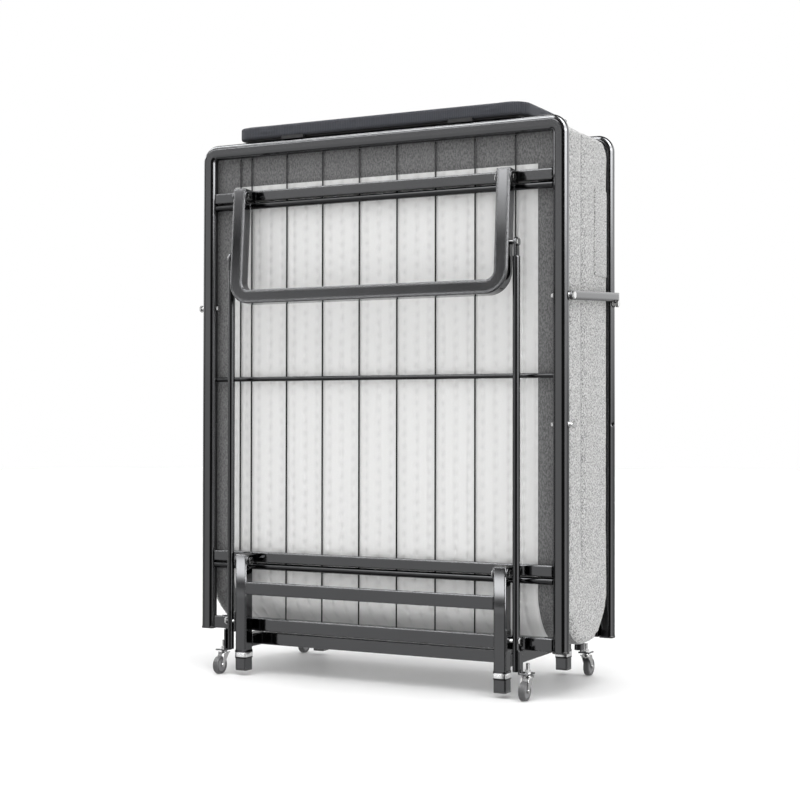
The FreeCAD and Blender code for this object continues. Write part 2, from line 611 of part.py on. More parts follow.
def make_latch():
    stow = "latch_height - 2 * latch_setback"
    node("head_rail_bolts", group("head_rail_bolts", [
        rail_bolt("latch_bolt", "right", -1, "latch_height"),
        rail_bolt("stow_stud", "right", -1, stow),
        rail_bolt("head_left_bolt", "left", -1, "latch_height")]))
    node("foot_rail_bolts", group("foot_rail_bolts", [
        rail_bolt("catch_stud", "right", 1, "latch_height"),
        rail_bolt("foot_left_bolt", "left", 1, "latch_height")]))
    eye = rod("latch_eye", "X", "latch_inner", "0 - latch_setback", "latch_height",
              "latch_face / 2", "latch_thick")
    bar = box("latch_blade", 0, 0, "0 - latch_face / 2", "latch_thick",
              "2 * latch_setback + latch_tail", "latch_face")
    tilt = group("latch_tilt", [bar])
    place(tilt, "latch_inner", "0 - latch_setback", "latch_height", Rotation(Vector(1, 0, 0), 1))
    tilt.setExpression("Placement.Rotation.Angle",
                       "atan(Sizes.latch_rise / (2 * Sizes.latch_setback))")
    hook = box("latch_hook", "latch_inner", "latch_setback + stud_radius + hook_gap",
               "latch_height - hook_drop", "latch_thick", "hook_length",
               "latch_rise + hook_drop")
    hole = rod("latch_hole", "X", "latch_inner - latch_thick", "0 - latch_setback",
               "latch_height", "stud_radius + running_gap", "3 * latch_thick")
    node("side_latch", cut("side_latch", fuse("latch_blank", [eye, tilt, hook]), hole))


# ---------------------------------------------------------------- build and write out
make_deck()
make_pivots()
make_base()
make_end_leg()
make_link()
for deck_name in ("head", "foot"):
    for side_name in SIDES:
        make_caster(deck_name, side_name)
make_mattress()
make_panel()
make_latch()
doc.recompute()

for item in doc.Objects:
    if "Invalid" in item.State or "Error" in item.State:
        raise RuntimeError("%s did not build: %s" % (item.Label, item.State))
os.makedirs("parts", exist_ok=True)
for label, item in NODES.items():
    shape = item.Shape
    if shape.isNull() or not shape.isValid():
        raise RuntimeError("%s has no valid shape" % label)
    shape.exportStep("parts/%s.step" % label)
    bounds = shape.BoundBox
    print("%-26s solids %2d  volume %10.0f  X %7.1f %7.1f  Y %7.1f %7.1f  Z %7.1f %7.1f" % (
        label, len(shape.Solids), shape.Volume, bounds.XMin, bounds.XMax,
        bounds.YMin, bounds.YMax, bounds.ZMin, bounds.ZMax))
print(len(NODES), "nodes")
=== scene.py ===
"""Looks of the folding cot: chromed frame, quilted mattress, padded head panel and studio.

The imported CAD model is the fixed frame.  Everything here is in metres in that frame: X is the
width, the head deck is on the -Y side, the foot deck on the +Y side, and Z is up.
"""
import json
import math

import bmesh
import bpy
import numpy as np
from mathutils import Matrix, Vector


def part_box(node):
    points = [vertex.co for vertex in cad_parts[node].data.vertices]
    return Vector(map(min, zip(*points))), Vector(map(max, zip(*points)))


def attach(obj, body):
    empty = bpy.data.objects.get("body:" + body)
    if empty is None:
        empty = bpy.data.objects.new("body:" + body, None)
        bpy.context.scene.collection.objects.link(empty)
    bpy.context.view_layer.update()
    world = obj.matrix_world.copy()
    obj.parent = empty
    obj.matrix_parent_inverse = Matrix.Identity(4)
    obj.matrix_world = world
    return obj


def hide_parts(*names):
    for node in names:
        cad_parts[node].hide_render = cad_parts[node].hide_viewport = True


bl_info = {
    "name": "Folding Cot",
    "version": (1, 0, 0),
    "blender": (4, 5, 0),
    "location": "3D View > Sidebar > Folding Cot",
    "description": "Dresses the packed frame of a folding cot and sets it in a white studio",
    "category": "Object",
}

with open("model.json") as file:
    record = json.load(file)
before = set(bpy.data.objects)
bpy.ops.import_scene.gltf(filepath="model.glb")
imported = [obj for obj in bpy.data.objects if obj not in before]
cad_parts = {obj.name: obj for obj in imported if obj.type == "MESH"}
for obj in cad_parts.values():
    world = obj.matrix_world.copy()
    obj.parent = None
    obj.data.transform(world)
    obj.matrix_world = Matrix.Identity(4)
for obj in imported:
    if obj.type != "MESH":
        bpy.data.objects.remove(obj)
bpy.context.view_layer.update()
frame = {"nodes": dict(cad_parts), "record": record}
DECKS = {"head": -1, "foot": 1}
MM = 0.001

MATTRESS_LOW, MATTRESS_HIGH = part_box("head_mattress")
FOLD_LOW, FOLD_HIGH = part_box("head_mattress_fold")
PANEL_LOW, PANEL_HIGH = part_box("head_panel")
LEG_LOW, LEG_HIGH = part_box("head_centre_leg_right")
HOOP_LOW, HOOP_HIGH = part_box("head_frame_hoop")

MATTRESS_SIDE = -MATTRESS_LOW.x  # half the width
MATTRESS_DEPTH = -MATTRESS_LOW.y  # thickness of each folded half
FOLD_CENTRE = FOLD_LOW.z + (FOLD_HIGH.y - FOLD_LOW.y)  # height of the fold's axis
SIDE_SPARE = 8 * MM  # how far soft goods may stand past the core's sides
CREASE_START = 225 * MM  # height from which the side crease deepens
LEG_BENDS = ((146 * MM, 4.3), (167 * MM, -3.5))  # height, and fall per squared metre above
SLEEVE_STEPS = ((33, 0.2), (34, 0.9), (49, 0.9), (50, 0.2))  # height and step out, in mm


# ---------------------------------------------------------------- settings
class CotMetalSettings(bpy.types.PropertyGroup):
    steel: bpy.props.FloatVectorProperty(
        name="Steel", description="Reflection colour of the black chrome", subtype="COLOR",
        size=3, min=0, max=1, default=(0.105, 0.106, 0.109))
    steel_roughness: bpy.props.FloatProperty(
        name="Steel roughness", description="Blur of the reflections in the black chrome",
        subtype="FACTOR", min=0, max=1, default=0.1)
    soft_edge: bpy.props.FloatProperty(
        name="Soft edge", description="Radius that the plating's shine gives to hard edges",
        unit="LENGTH", default=3 * MM)
    zinc: bpy.props.FloatVectorProperty(
        name="Zinc", description="Colour of bolts, stems and forks", subtype="COLOR",
        size=3, min=0, max=1, default=(0.66, 0.66, 0.66))
    zinc_roughness: bpy.props.FloatProperty(
        name="Zinc roughness", description="Blur of the reflections in the zinc plating",
        subtype="FACTOR", min=0, max=1, default=0.24)


class CotMattressSettings(bpy.types.PropertyGroup):
    melange: bpy.props.FloatVectorProperty(
        name="Side fabric", description="Light speckled fabric round the sides",
        subtype="COLOR", size=3, min=0, max=1, default=(0.44, 0.44, 0.436))
    heather: bpy.props.FloatVectorProperty(
        name="Border fabric", description="Dark heathered fabric along the deck side",
        subtype="COLOR", size=3, min=0, max=1, default=(0.122, 0.122, 0.123))
    ticking: bpy.props.FloatVectorProperty(
        name="Quilted fabric", description="Pale quilted fabric of the middle panels",
        subtype="COLOR", size=3, min=0, max=1, default=(0.71, 0.71, 0.705))
    border_wrap: bpy.props.FloatProperty(
        name="Border wrap", description="How far the dark border comes round onto the sides",
        unit="LENGTH", default=31 * MM)
    panel_half_width: bpy.props.FloatProperty(
        name="Panel half width", description="Half the width of the quilted panel",
        unit="LENGTH", default=334 * MM)
    panel_drop: bpy.props.FloatProperty(
        name="Panel drop", description="From the top of the mattress to the quilted panel",
        unit="LENGTH", default=63 * MM)
    stitch_pitch: bpy.props.FloatProperty(
        name="Stitch pitch", description="Distance between columns of stitches",
        unit="LENGTH", default=27.7 * MM)
    stitch_step: bpy.props.FloatProperty(
        name="Stitch step", description="Distance between stitches in a column",
        unit="LENGTH", default=24 * MM)
    shoulder: bpy.props.FloatProperty(
        name="Shoulder", description="Rounding of the top edge over the foot deck",
        unit="LENGTH", default=46 * MM)
    head_shoulder: bpy.props.FloatProperty(
        name="Head shoulder", description="Rounding of the top edge over the head deck",
        unit="LENGTH", default=9 * MM)
    voxel: bpy.props.FloatProperty(
        name="Cloth grain", description="Size of the mesh cells for the simulation",
        unit="LENGTH", default=10 * MM)
    inset: bpy.props.FloatProperty(
        name="Slack", description="How much smaller the mattress starts before it swells",
        unit="LENGTH", default=2 * MM)
    swell: bpy.props.FloatProperty(
        name="Swell", description="The most that a point may move in the simulation",
        unit="LENGTH", default=8 * MM)
    top_rise: bpy.props.FloatProperty(
        name="Top rise", description="How far the soft top stands over the firm core",
        unit="LENGTH", default=9 * MM)
    crease_setback: bpy.props.FloatProperty(
        name="Crease", description="Place of the soft crease down each side",
        unit="LENGTH", default=32 * MM)


class CotPanelSettings(bpy.types.PropertyGroup):
    cloth: bpy.props.FloatVectorProperty(
        name="Cloth", description="Charcoal ribbed cloth of the head panel", subtype="COLOR",
        size=3, min=0, max=1, default=(0.033, 0.035, 0.042))
    rib: bpy.props.FloatProperty(
        name="Rib", description="Distance between the ribs of the weave", unit="LENGTH",
        default=3.8 * MM)
    corner: bpy.props.FloatProperty(
        name="Corner", description="Radius of the panel's corners", unit="LENGTH",
        default=30 * MM)
    board: bpy.props.FloatProperty(
        name="Board", description="How far the dark board hangs below the panel",
        unit="LENGTH", default=5.2 * MM)
    crown: bpy.props.FloatProperty(
        name="Crown", description="How far the padding stands over the firm core",
        unit="LENGTH", default=3.5 * MM)


class CotStageSettings(bpy.types.PropertyGroup):
    camera_place: bpy.props.FloatVectorProperty(
        name="Camera", description="Where the camera stands", subtype="TRANSLATION",
        size=3, default=(1.4469, -2.7994, 0.5057))
    camera_turn: bpy.props.FloatVectorProperty(
        name="Camera turn", description="Pitch, roll and heading of the camera in degrees",
        size=3, default=(0.7898, 0.0892, 27.4908))
    lens: bpy.props.FloatProperty(
        name="Lens", description="Focal length in millimetres", default=70.66)
    dome: bpy.props.FloatProperty(
        name="Dome", description="Strength of the white dome", default=1.0)
    brightest: bpy.props.FloatProperty(
        name="Brightest band", description="Strength of the strips seen in the chrome",
        default=9.0)
    key: bpy.props.FloatProperty(
        name="Key light", description="Strength of the large overhead light", unit="POWER",
        default=58)


# ---------------------------------------------------------------- shader tools
class Shader:
    """Adds nodes to one material or world and joins them up."""

    def __init__(self, owner):
        owner.use_nodes = True
        self.tree = owner.node_tree
        self.tree.nodes.clear()

    def add(self, kind, **settings):
        made = self.tree.nodes.new(kind)
        for name, value in settings.items():
            setattr(made, name, value)
        return made

    def put(self, socket, value):
        if isinstance(value, bpy.types.NodeSocket):
            self.tree.links.new(value, socket)
        elif hasattr(value, "__len__") and len(value) == 3 and socket.type == "RGBA":
            socket.default_value = (*value, 1)
        else:
            socket.default_value = value

    def maths(self, operation, *values, clamp=False):
        made = self.add("ShaderNodeMath", operation=operation, use_clamp=clamp)
        for socket, value in zip(made.inputs, values):
            self.put(socket, value)
        return made.outputs[0]

    def blend(self, factor, first, second):
        made = self.add("ShaderNodeMix", data_type="RGBA")
        for name, value in ((0, factor), (6, first), (7, second)):
            self.put(made.inputs[name], value)
        return made.outputs[2]

    def ramp(self, value, *stops):
        """Maps a value to grey levels through (place, level) stops."""
        made = self.add("ShaderNodeValToRGB")
        self.put(made.inputs[0], value)
        points = made.color_ramp.elements
        while len(points) < len(stops):
            points.new(0.5)
        for point, (place, level) in zip(points, sorted(stops)):
            point.position = place
            point.color = (level, level, level, 1)
        return made.outputs[0]

    def noise(self, where, scale, detail=3.0, stretch=(1, 1, 1)):
        mapping = self.add("ShaderNodeMapping")
        self.put(mapping.inputs["Vector"], where)
        mapping.inputs["Scale"].default_value = stretch
        made = self.add("ShaderNodeTexNoise")
        self.put(made.inputs["Vector"], mapping.outputs[0])
        made.inputs["Scale"].default_value = scale
        made.inputs["Detail"].default_value = detail
        return made.outputs["Fac"]

    def place(self):
        return self.add("ShaderNodeTexCoord").outputs["Object"]

    def split(self, vector):
        """The x, y and z of a vector."""
        made = self.add("ShaderNodeSeparateXYZ")
        self.put(made.inputs[0], vector)
        return made.outputs[0], made.outputs[1], made.outputs[2]

    def bump(self, height, distance, strength=1.0, base=None):
        made = self.add("ShaderNodeBump")
        if base:
            self.put(made.inputs["Normal"], base)
        self.put(made.inputs["Height"], height)
        made.inputs["Distance"].default_value = distance
        made.inputs["Strength"].default_value = strength
        return made.outputs[0]

    def surface(self, **values):
        shader = self.add("ShaderNodeBsdfPrincipled")
        for name, value in values.items():
            self.put(shader.inputs[name.replace("_", " ")], value)
        out = self.add("ShaderNodeOutputMaterial")
        self.put(out.inputs["Surface"], shader.outputs[0])


def new_material(name):
    material = bpy.data.materials.new(name)
    return material, Shader(material)


def tint(colour, share):
    """A colour made darker or lighter."""
    return [channel * share for channel in colour]


# ---------------------------------------------------------------- materials
def black_chrome(settings, name="black_chrome", shade=1.0, edge=1.0, bent_tops=False):
    """Black chrome on steel: a dark mirror with faint polishing haze."""
    material, s = new_material(name)
    where = s.place()
    haze = s.noise(where, scale=14, detail=4)
    grain = s.noise(where, scale=900, detail=2)
    low, high = settings.steel_roughness * 0.75, settings.steel_roughness * 1.35
    roughness = s.maths("MULTIPLY_ADD", haze, high - low, low)
    # a shade below 1 paints the chrome darker as painted shade
    tone = s.blend(haze, tint(settings.steel, 0.93 * shade), tint(settings.steel, 1.07 * shade))
    height = s.maths("MULTIPLY", grain, 0.005 * MM)
    if bent_tops:
        height = s.maths("SUBTRACT", height, leaning_back(s, where))
    edges = s.add("ShaderNodeBevel", samples=6)
    edges.inputs["Radius"].default_value = settings.soft_edge * edge
    s.surface(Base_Color=tone, Metallic=1.0, Roughness=roughness,
              Normal=s.bump(height, distance=1.0, base=edges.outputs[0]))
    return material


def sleeve_chrome_with_painted_band():
    """The foot sleeves: dark chrome with a pale metal band painted in as a bright reflection."""
    material, s = new_material("sleeve_chrome")
    where = s.place()
    z = s.split(where)[2]
    haze = s.noise(where, scale=60, detail=3)
    decimetres = s.maths("MULTIPLY", z, 10.0)
    # painted reflection: a pale band about 36 to 46 mm up, where the sleeve shows a bright
    # reflection
    painted_reflection_band = s.ramp(decimetres, (0.36, 0), (0.37, 1), (0.45, 1), (0.46, 0))
    dark = s.blend(haze, (0.016, 0.016, 0.017), (0.024, 0.024, 0.025))
    painted_reflection_tone = s.blend(haze, (0.78, 0.78, 0.79), (0.9, 0.9, 0.9))
    s.surface(Base_Color=s.blend(painted_reflection_band, dark, painted_reflection_tone), Metallic=1.0,
              Roughness=s.maths("MULTIPLY_ADD", haze, 0.1, 0.12))
    return material


def leaning_back(s, where):
    """How far, in metres, the bent upper end of a centre leg falls back with height."""
    z = s.split(where)[2]
    falls = []
    for start, curve in LEG_BENDS:
        above = s.maths("MAXIMUM", s.maths("SUBTRACT", z, start), 0.0)
        falls.append(s.maths("MULTIPLY", s.maths("MULTIPLY", above, above), curve))
    return s.maths("ADD", *falls)


def bright_zinc(settings):
    """Bright zinc plating with a slightly uneven shine."""
    material, s = new_material("bright_zinc")
    where = s.place()
    spots = s.noise(where, scale=260, detail=4)
    tone = s.blend(spots, tint(settings.zinc, 0.8), settings.zinc)
    roughness = s.maths("MULTIPLY_ADD", spots, 0.16, settings.zinc_roughness - 0.08)
    s.surface(Base_Color=tone, Metallic=1.0, Roughness=roughness,
              Normal=s.bump(spots, distance=0.05 * MM, strength=0.4))
    return material


def moulded(name, colour, roughness, grain_scale, coat=0.0):
    """Moulded plastic or rubber with a fine grain."""
    material, s = new_material(name)
    where = s.place()
    grain = s.noise(where, scale=grain_scale, detail=3)
    broad = s.noise(where, scale=60, detail=2)
    tone = s.blend(broad, tint(colour, 0.85), tint(colour, 1.15))
    s.surface(Base_Color=tone, Roughness=s.maths("MULTIPLY_ADD", grain, 0.15, roughness - 0.07),
              Normal=s.bump(grain, distance=0.06 * MM, strength=0.5), Coat_Weight=coat)
    return material


def fleck_noise(s, where):
    """Flecks that are a little longer upright."""
    return s.noise(where, scale=430, detail=2, stretch=(1, 1, 0.75))


def speckled(s, flecks, colour):
    """The side cloth's colour: dark flecks on a pale ground."""
    return s.blend(s.ramp(flecks, (0.38, 0), (0.6, 1)), tint(colour, 0.34), tint(colour, 1.3))


def mattress_cloth(settings):
    """Three cloths in one cover: quilted panel, dark border and speckled sides."""
    material, s = new_material("mattress_cover")
    where = s.place()
    x, y, z = s.split(where)
    side = s.maths("ABSOLUTE", x)
    on_face = s.maths("LESS_THAN", side, MATTRESS_SIDE - 5 * MM)
    narrow = s.maths("LESS_THAN", side, settings.panel_half_width)
    under = s.maths("LESS_THAN", z, MATTRESS_HIGH.z - settings.panel_drop)
    panel = s.maths("MULTIPLY", narrow, under)
    flecks = fleck_noise(s, where)
    fine = s.noise(where, scale=1100, detail=2)
    ticking = s.blend(s.ramp(fine, (0.3, 0), (0.6, 1)),
                      tint(settings.ticking, 0.93), settings.ticking)
    border = border_mask(s, y, z, on_face, settings)
    cover = s.blend(border, speckled(s, flecks, settings.melange),
                    heathered(s, where, flecks, settings.heather))
    cover = s.blend(panel, cover, ticking)
    # painted shade darkens the cover along the crease down each side
    cover = with_painted_crease_shade(s, y, z, on_face, cover, settings)
    stitches, channel = stitch_pattern(s, x, z, settings)
    # painted shade: the quilted panel is darkened at each stitch dimple
    painted_dimple_shade = s.maths("MULTIPLY", panel, s.maths("MULTIPLY", stitches, 0.16))
    cover = s.blend(painted_dimple_shade, cover, tint(settings.ticking, 0.55))
    weave = s.maths("ADD", s.maths("MULTIPLY", fine, 0.16), s.maths("MULTIPLY", flecks, 0.2))
    pulled = s.maths("MULTIPLY", panel, s.maths("MULTIPLY_ADD", channel, 0.6,
                                                s.maths("MULTIPLY", stitches, 0.4)))
    height = s.maths("SUBTRACT", weave, pulled)
    s.surface(Base_Color=cover, Roughness=0.95, Sheen_Weight=0.2, Sheen_Roughness=0.6,
              Normal=s.bump(height, distance=2.4 * MM, strength=0.8))
    return material


def border_mask(s, y, z, on_face, settings):
    """1 on the outer faces and the fold, and on the part of the top next to them."""
    below = s.maths("MINIMUM", s.maths("SUBTRACT", z, FOLD_CENTRE), 0.0)
    depth = s.maths("SQRT", s.maths("ADD", s.maths("MULTIPLY", y, y),
                                    s.maths("MULTIPLY", below, below)))
    outer = s.maths("GREATER_THAN", depth, MATTRESS_DEPTH - settings.border_wrap)
    return s.maths("MULTIPLY", on_face, outer)


def heathered(s, where, flecks, colour):
    """The border cloth's colour: soft upright streaks."""
    streaks = s.noise(where, scale=420, detail=2, stretch=(1, 1, 0.4))
    mixed = s.maths("MULTIPLY_ADD", streaks, 0.6, s.maths("MULTIPLY", flecks, 0.4))
    return s.blend(s.ramp(mixed, (0.4, 0), (0.6, 1)), tint(colour, 0.62), tint(colour, 1.4))


def with_painted_crease_shade(s, y, z, on_face, cover, settings):
    """The cover with painted shade: darker along the crease down each side."""
    away = s.maths("ABSOLUTE", s.maths("ADD", y, settings.crease_setback))
    centimetres = s.maths("MULTIPLY", 100.0, away)
    # painted shade: the cover falls to 0.72 of its colour at the crease line
    light = s.ramp(centimetres, (0, 0.72), (0.3, 0.86), (0.7, 1))
    upper = s.maths("GREATER_THAN", z, CREASE_START + 10 * MM)
    on_side = s.maths("SUBTRACT", 1.0, on_face)
    return s.blend(s.maths("MULTIPLY", upper, on_side), cover,
                   s.blend(light, (0, 0, 0), cover))


def stitch_pattern(s, x, z, settings):
    """Columns of staggered stitches: 1 at each stitch, and 1 along each column."""
    column_power, stitch_power = 8.0, 3.0
    column = s.maths("DIVIDE", x, settings.stitch_pitch)
    number = s.maths("ROUND", column)
    across = s.maths("COSINE", s.maths("MULTIPLY", column, math.pi))
    channel = s.maths("POWER", s.maths("ABSOLUTE", across), column_power)
    stagger = s.maths("MULTIPLY", s.maths("FLOORED_MODULO", number, 2.0), 0.5)
    row = s.maths("ADD", s.maths("DIVIDE", z, settings.stitch_step), stagger)
    along = s.maths("ABSOLUTE", s.maths("COSINE", s.maths("MULTIPLY", row, math.pi)))
    return s.maths("MULTIPLY", channel, s.maths("POWER", along, stitch_power)), channel


def flap_cloth(settings):
    """The speckled side cloth on its own."""
    material, s = new_material("flap_cloth")
    flecks = fleck_noise(s, s.place())
    s.surface(Base_Color=speckled(s, flecks, settings.melange), Roughness=0.95,
              Sheen_Weight=0.25, Normal=s.bump(flecks, distance=0.5 * MM, strength=0.6))
    return material


def ribbed_cloth(settings):
    """Charcoal cloth with a fine upright rib."""
    material, s = new_material("charcoal_rib")
    where = s.place()
    x, y, _ = s.split(where)
    facing = s.split(s.add("ShaderNodeNewGeometry").outputs["Normal"])[0]
    on_end = s.maths("GREATER_THAN", s.maths("ABSOLUTE", facing), 0.7)
    across = s.maths("ADD", s.maths("MULTIPLY", x, s.maths("SUBTRACT", 1.0, on_end)),
                     s.maths("MULTIPLY", y, on_end))
    rib = s.maths("SINE", s.maths("MULTIPLY", across, math.tau / settings.rib))
    thread = s.noise(where, scale=800, detail=2)
    height = s.maths("MULTIPLY_ADD", thread, 0.8, s.maths("MULTIPLY", rib, 0.5))
    level = s.maths("MULTIPLY_ADD", height, 0.35, 0.3, clamp=True)
    tone = s.blend(level, tint(settings.cloth, 0.5), tint(settings.cloth, 1.7))
    s.surface(Base_Color=tone, Roughness=0.9, Sheen_Weight=0.04, Sheen_Roughness=0.4,
              Normal=s.bump(height, distance=0.5 * MM, strength=0.7))
    return material


# ---------------------------------------------------------------- mesh tools
def add_piece(name, shape, material, body, smooth=True):
    """Turn a bmesh into a finished piece that rides on a body."""
    mesh = bpy.data.meshes.new(name)
    shape.to_mesh(mesh)
    shape.free()
    piece = bpy.data.objects.new(name, mesh)
    bpy.context.scene.collection.objects.link(piece)
    mesh.materials.append(material)
    if smooth:
        mesh.shade_smooth()
    if body:
        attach(piece, body)
    return piece


def block(low, high):
    """A bmesh box between two corners."""
    shape = bmesh.new()
    low, high = Vector(low), Vector(high)
    bmesh.ops.create_cube(shape, size=1)
    bmesh.ops.scale(shape, vec=high - low, verts=shape.verts)
    bmesh.ops.translate(shape, vec=(low + high) / 2, verts=shape.verts)
    return shape


def bevel(shape, edges, radius, segments=3):
    bmesh.ops.bevel(shape, geom=edges, offset=radius, segments=segments, profile=0.5,
                    affect="EDGES", material=-1)


def runs_along(edge, axis):
    line = (edge.verts[1].co - edge.verts[0].co).normalized()
    return abs(line[axis]) > 0.99


def rounded_block(low, high, corner, rim, segments=4):
    """A box whose upright edges and then rims are rounded."""
    shape = block(low, high)
    bevel(shape, [e for e in shape.edges if runs_along(e, 2)], corner, segments)
    rims = [e for e in shape.edges
            if abs(e.verts[0].co.z - e.verts[1].co.z) < 1e-6
            and any(abs(f.normal.z) > 0.9 for f in e.link_faces)
            and any(abs(f.normal.z) < 0.1 for f in e.link_faces)]
    bevel(shape, rims, rim, 3)
    return shape


def join(shapes):
    """One bmesh that holds all the given ones."""
    whole = bmesh.new()
    for shape in shapes:
        mesh = bpy.data.meshes.new("part")
        shape.to_mesh(mesh)
        shape.free()
        whole.from_mesh(mesh)
        bpy.data.meshes.remove(mesh)
    return whole


def replace_mesh(piece, modifier_type, **settings):
    """Add a modifier, keep its result as the mesh and drop the modifier."""
    modifier = piece.modifiers.new("step", modifier_type)
    for name, value in settings.items():
        setattr(modifier, name, value)
    bpy.context.view_layer.update()
    result = bpy.data.meshes.new_from_object(
        piece.evaluated_get(bpy.context.evaluated_depsgraph_get()))
    piece.modifiers.clear()
    old, piece.data = piece.data, result
    bpy.data.meshes.remove(old)


def coordinates(mesh):
    points = np.empty(len(mesh.vertices) * 3)
    mesh.vertices.foreach_get("co", points)
    return points.reshape(-1, 3)


def set_coordinates(mesh, points):
    mesh.vertices.foreach_set("co", points.ravel())
    mesh.update()


def inflate(piece, pressure, cap, frames=20):
    """Swell a closed cloth mesh with the air pressure of its filling, up to a cap.

    The firm core holds the cover out, so that no edge falls inward.
    """
    start = coordinates(piece.data)
    normals = np.empty(start.size)
    piece.data.vertices.foreach_get("normal", normals)
    normals = normals.reshape(-1, 3)
    cloth = piece.modifiers.new("cloth", "CLOTH")
    cloth.settings.quality = 4
    cloth.settings.mass = 0.3
    cloth.settings.tension_stiffness = cloth.settings.compression_stiffness = 15
    cloth.settings.bending_stiffness = 0.5
    cloth.settings.use_pressure = True
    cloth.settings.uniform_pressure_force = pressure
    cloth.settings.effector_weights.gravity = 0
    cloth.point_cache.frame_end = frames
    scene = bpy.context.scene
    for step in range(1, frames + 1):
        scene.frame_set(step)
    result = piece.evaluated_get(bpy.context.evaluated_depsgraph_get())
    moved = coordinates(result.data) - start
    piece.modifiers.clear()
    scene.frame_set(1)
    inward = np.minimum((moved * normals).sum(axis=1, keepdims=True), 0)
    moved -= inward * normals
    length = np.linalg.norm(moved, axis=1, keepdims=True)
    moved *= np.minimum(1, cap / np.maximum(length, 1e-9))
    set_coordinates(piece.data, start + moved)


def ease(value, start, end):
    """0 before start, 1 after end, smooth between."""
    t = np.clip((value - start) / (end - start), 0, 1)
    return t * t * (3 - 2 * t)


def hump(distance, width):
    """1 in the middle, falling to about a third at one width away."""
    return np.exp(-(distance / width) ** 2)


def crisp(mesh, degrees=35):
    """Smooth shading that keeps the edges sharper than an angle."""
    mesh.shade_smooth()
    mesh.set_sharp_from_angle(angle=math.radians(degrees))


# ---------------------------------------------------------------- operators
class CotOperator:
    bl_options = {"REGISTER", "UNDO"}


class COT_OT_metalwork(CotOperator, bpy.types.Operator):
    """Give every steel, zinc, plastic and rubber part of the frame its finish"""
    bl_idname = "cot.metalwork"
    bl_label = "Finish the Metalwork"

    def execute(self, context):
        settings = context.scene.cot_metal
        finishes = {
            "black_chrome": black_chrome(settings),
            "leg_chrome": black_chrome(settings, "leg_chrome", bent_tops=True),
            # painted shade: the wires and cross rods use the same chrome at 0.35 of its
            # brightness
            "wire_chrome": black_chrome(settings, "wire_chrome", shade=0.35, edge=0.2),
            "round_chrome": black_chrome(settings, "round_chrome", edge=2.3),
            "sleeve_chrome": sleeve_chrome_with_painted_band(),
            "bright_zinc": bright_zinc(settings),
            "black_plastic": moulded("black_plastic", (0.035, 0.035, 0.036), roughness=0.3,
                                     grain_scale=500, coat=0.3),
            "dark_board": moulded("dark_board", (0.012, 0.012, 0.013), roughness=0.6,
                                  grain_scale=400),
            "grey_tyre": moulded("grey_rubber", (0.085, 0.085, 0.087), roughness=0.55,
                                 grain_scale=700),
            "pale_hub": moulded("pale_nylon", (0.2, 0.2, 0.205), roughness=0.35,
                                grain_scale=500, coat=0.3),
            "mattress_fabric": mattress_cloth(context.scene.cot_mattress),
            "charcoal_fabric": ribbed_cloth(context.scene.cot_panel),
        }
        slots = {row["node"]: row["material_slot"] for row in frame["record"]["subparts"]}
        for name, part in frame["nodes"].items():
            finish = slots[name]
            if "centre_leg" in name:
                finish = "leg_chrome"
            elif "wire" in name or "cross_rods" in name:
                finish = "wire_chrome"
            elif "end_leg" in name or name == "side_latch":
                finish = "round_chrome"
            elif name == "head_panel_feet":
                finish = "dark_board"
            part.data.materials.clear()
            part.data.materials.append(finishes[finish])
            crisp(part.data)
        return {"FINISHED"}


